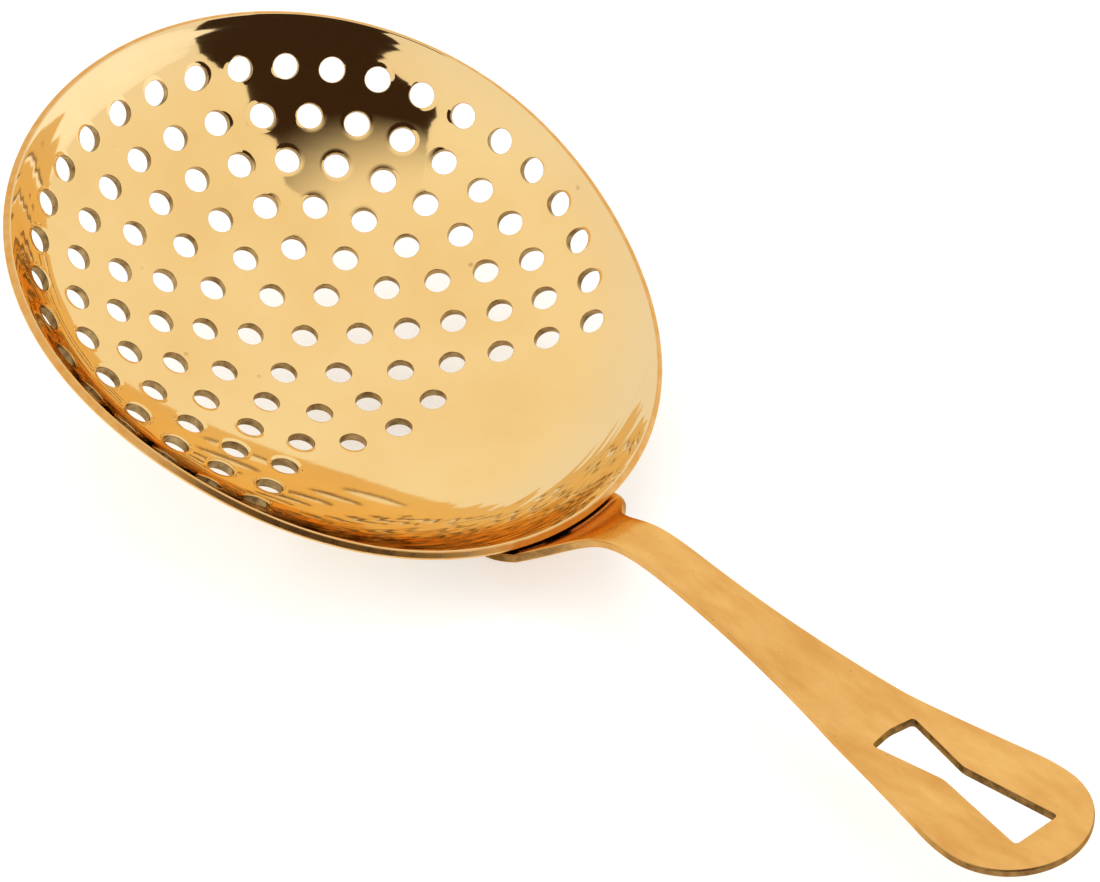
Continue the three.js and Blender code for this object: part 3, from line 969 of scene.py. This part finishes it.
weldMetal = {
    "color": (0.55, 0.33, 0.12),
    "deepColor": (0.38, 0.2, 0.07),
    "speckColor": (0.15, 0.08, 0.03),
    "grazingTint": (0.6, 0.4, 0.2),
    "patchScale": 400, "patchAmount": 0.9, "patchStretch": (1, 1, 1), "specks": 0.6,
    "roughness": (0.4, 0.6), "polishedRoughness": 0.4,
    "edgeColor": (0.3, 0.16, 0.05), "innerShadeColor": (0.2, 0.1, 0.03),
    "edgeRoughness": 0.6, "edgeAmount": 0.9,
    "lineTurn": 0, "lineStretch": (1, 1, 1), "lineScale": 3000, "lineHeight": 0.01,
    "waveScale": 300, "waveHeight": 0.03,
    "turnScale": 7, "radiusScale": 0.7, "riseFrom": 26, "riseTo": 41, "roundHeight": 0.004,
    "paintedBounceColor": (0.7, 0.4, 0.12), "paintedBounceAmount": 0,
}

for pieces, slotName, nodeNames, look in (
    ([bowlPiece], "polished_gold", ["bowl"], polishedGold),
    ([handlePiece], "satin_gold", ["handle"], satinGold),
    (weldPieces, "weld_metal", ["spot_weld_1", "spot_weld_2", "spot_weld_3"], weldMetal),
):
    material = goldMaterial(slotName, look)
    for piece, nodeName in zip(pieces, nodeNames):
        piece.data.materials.append(material)
        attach(piece, "root")
        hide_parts(nodeName)
print("finishes on")


# The studio is in metres and degrees.
studio = {
    "floorSize": 4,
    "floorColor": (0.56, 0.57, 0.6),
    "floorRoughness": 0.9,
    "floorGloss": 0.2,
    "floorGlowColor": (0.97, 0.985, 1),
    "floorGlow": 0.52,  # keeps the shadow pale
    "worldColor": (1.0, 0.95, 0.84),
    "worldStrength": 1.0,
}

# a dark flag beside the camera, hung in an arch round the bowl
flag = {
    "distance": 0.7,
    # elevation, and the azimuths between which it hangs there
    "rows": [
        (-1, 13, -54), (5, 10, -54), (17, 5, -52), (21, 3, -43), (27, 1, -50), (31, 2, -64),
        (43, 7, -62), (49, 14, -58), (55, 9, -55), (63, 20, -52), (70, 18, -53), (77, 10, -53),
    ],
    "columns": 9,
    "color": (0.035, 0.02, 0.012),
    "fadeFrom": 0.58,    # above the floor, where its top starts to thin out
    "fadeTo": 0.7,
    "deepestRay": 1.5,   # it hangs clear of what the bowl sees of itself
}

softBoxes = [
    {
        "name": "overhead", "aim": (-0.02, 0, 0.01),
        "azimuth": 150, "elevation": 60, "distance": 1.1, "size": 0.9, "watts": 3,
    },
    {
        "name": "side", "aim": (0, 0, 0.01),
        "azimuth": -120, "elevation": 35, "distance": 1.0, "size": 0.6, "watts": 2,
    },
]

camera = {
    "aim": (-0.00728, 0.00492, 0.01198),
    "azimuth": 48.95,
    "elevation": 39.44,
    "distance": 0.452,
    "lens": 121.73,     # millimetres, as is the sensor
    "sensor": 36,
    "nearest": 0.01,
    "farthest": 20,
}


def wayTo(azimuth, elevation):
    a, e = math.radians(azimuth), math.radians(elevation)
    return Vector((math.cos(a) * math.cos(e), math.sin(a) * math.cos(e), math.sin(e)))


def makeFloor():
    half = studio["floorSize"] / 2
    mesh = bpy.data.meshes.new("floor")
    corners = [(-half, -half, 0), (half, -half, 0), (half, half, 0), (-half, half, 0)]
    mesh.from_pydata(corners, [], [(0, 1, 2, 3)])
    floor = bpy.data.objects.new("floor", mesh)
    scene.collection.objects.link(floor)
    material = bpy.data.materials.new("pale_floor")
    material.use_nodes = True
    shader = material.node_tree.nodes["Principled BSDF"]
    shader.inputs["Base Color"].default_value = (*studio["floorColor"], 1)
    shader.inputs["Roughness"].default_value = studio["floorRoughness"]
    shader.inputs["Specular IOR Level"].default_value = studio["floorGloss"]
    shader.inputs["Emission Color"].default_value = (*studio["floorGlowColor"], 1)
    shader.inputs["Emission Strength"].default_value = studio["floorGlow"]
    mesh.materials.append(material)


def makeFlag():
    bowlLow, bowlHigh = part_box("bowl")
    middle = (bowlLow + bowlHigh) / 2
    columns = flag["columns"]
    points = [middle + wayTo(azimuth, elevation) * flag["distance"]
              for elevation, left, right in flag["rows"]
              for azimuth in np.linspace(left, right, columns)]
    faces = [(i, i + 1, i + 1 + columns, i + columns)
             for i in range(len(points) - columns) if (i + 1) % columns]
    mesh = bpy.data.meshes.new("dark_flag")
    mesh.from_pydata([tuple(point) for point in points], [], faces)
    card = bpy.data.objects.new("dark_flag", mesh)
    scene.collection.objects.link(card)
    material = bpy.data.materials.new("dark_cloth")
    material.use_nodes = True
    tree = material.node_tree
    shader = tree.nodes["Principled BSDF"]
    shader.inputs["Base Color"].default_value = (*flag["color"], 1)
    shader.inputs["Roughness"].default_value = 1.0
    shader.inputs["Specular IOR Level"].default_value = 0.0
    coordinates = nodeIn(tree, "ShaderNodeTexCoord", (-800, 0))
    height = nodeIn(tree, "ShaderNodeSeparateXYZ", (-600, 0))
    tree.links.new(coordinates.outputs["Object"], height.inputs["Vector"])
    fade = nodeIn(tree, "ShaderNodeMapRange", (-400, 0), clamp=True, interpolation_type="SMOOTHSTEP")
    fade.inputs["From Min"].default_value = flag["fadeTo"]
    fade.inputs["From Max"].default_value = flag["fadeFrom"]
    tree.links.new(height.outputs["Z"], fade.inputs["Value"])
    path = nodeIn(tree, "ShaderNodeLightPath", (-600, -250))
    direct = nodeIn(tree, "ShaderNodeMath", (-400, -250), operation="LESS_THAN")
    direct.inputs[1].default_value = flag["deepestRay"]
    tree.links.new(path.outputs["Ray Depth"], direct.inputs[0])
    solid = nodeIn(tree, "ShaderNodeMath", (-200, -100), operation="MULTIPLY")
    tree.links.new(fade.outputs["Result"], solid.inputs[0])
    tree.links.new(direct.outputs["Value"], solid.inputs[1])
    tree.links.new(solid.outputs["Value"], shader.inputs["Alpha"])
    mesh.materials.append(material)
    card.visible_camera = False
    card.visible_diffuse = False
    card.visible_shadow = False


def makeLights():
    world = bpy.data.worlds.new("studio")
    world.use_nodes = True
    background = world.node_tree.nodes["Background"]
    background.inputs["Color"].default_value = (*studio["worldColor"], 1)
    background.inputs["Strength"].default_value = studio["worldStrength"]
    scene.world = world
    for box in softBoxes:
        light = bpy.data.lights.new(box["name"], "AREA")
        light.shape = "SQUARE"
        light.size = box["size"]
        light.energy = box["watts"]
        lamp = bpy.data.objects.new(box["name"], light)
        way = wayTo(box["azimuth"], box["elevation"])
        lamp.location = Vector(box["aim"]) + way * box["distance"]
        lamp.visible_glossy = False  # only the even surroundings show in the polish
        lamp.rotation_mode = "QUATERNION"
        lamp.rotation_quaternion = (-way).to_track_quat("-Z", "Y")
        scene.collection.objects.link(lamp)


def makeCamera():
    lens = bpy.data.cameras.new("camera")
    lens.lens = camera["lens"]
    lens.sensor_width = camera["sensor"]
    lens.clip_start = camera["nearest"]
    lens.clip_end = camera["farthest"]
    eye = bpy.data.objects.new("camera", lens)
    a, e = math.radians(camera["azimuth"]), math.radians(camera["elevation"])
    back = Vector((math.sin(a) * math.cos(e), -math.cos(a) * math.cos(e), math.sin(e)))
    eye.location = Vector(camera["aim"]) + back * camera["distance"]
    eye.rotation_mode = "QUATERNION"
    eye.rotation_quaternion = (-back).to_track_quat("-Z", "Y")
    scene.collection.objects.link(eye)
    bpy.context.scene.camera = eye


makeFloor()
makeFlag()
makeLights()
makeCamera()
scene.view_settings.view_transform = "Standard"
scene.view_settings.look = "None"
print("studio ready")
